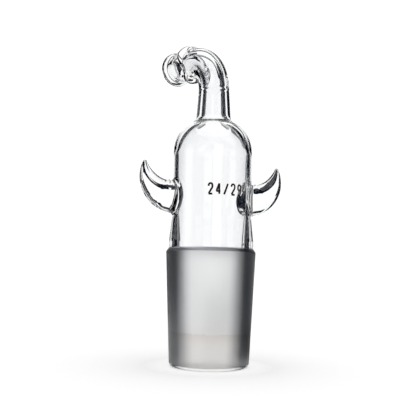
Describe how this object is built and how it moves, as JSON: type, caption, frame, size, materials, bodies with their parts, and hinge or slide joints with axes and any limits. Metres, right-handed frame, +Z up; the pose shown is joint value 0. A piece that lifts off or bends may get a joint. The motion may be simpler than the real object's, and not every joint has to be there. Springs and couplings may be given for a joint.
{
  "type": "vacuum adapter",
  "caption": "Clear glass vacuum adapter: a ground taper cone, a short domed body, a bent hose nozzle and opposed spring hooks, blown as one piece.",
  "frame": {"origin": "centre of the cone's lower end, in the plane the adapter stands on", "axes": "+Z up along the axis of the ground cone; the two hooks lie along +Y and -Y; the nozzle leaves on the +X side, turned 18 degrees towards +Y and rising 6 degrees"},
  "size_m": [0.0346, 0.0396, 0.0912],
  "materials": {
    "clear_glass": "clear and fire polished, with a fine ground zone on the cone"
  },
  "bodies": {
    "root": {"glass_adapter": "clear_glass"}
  },
  "joints": []
}
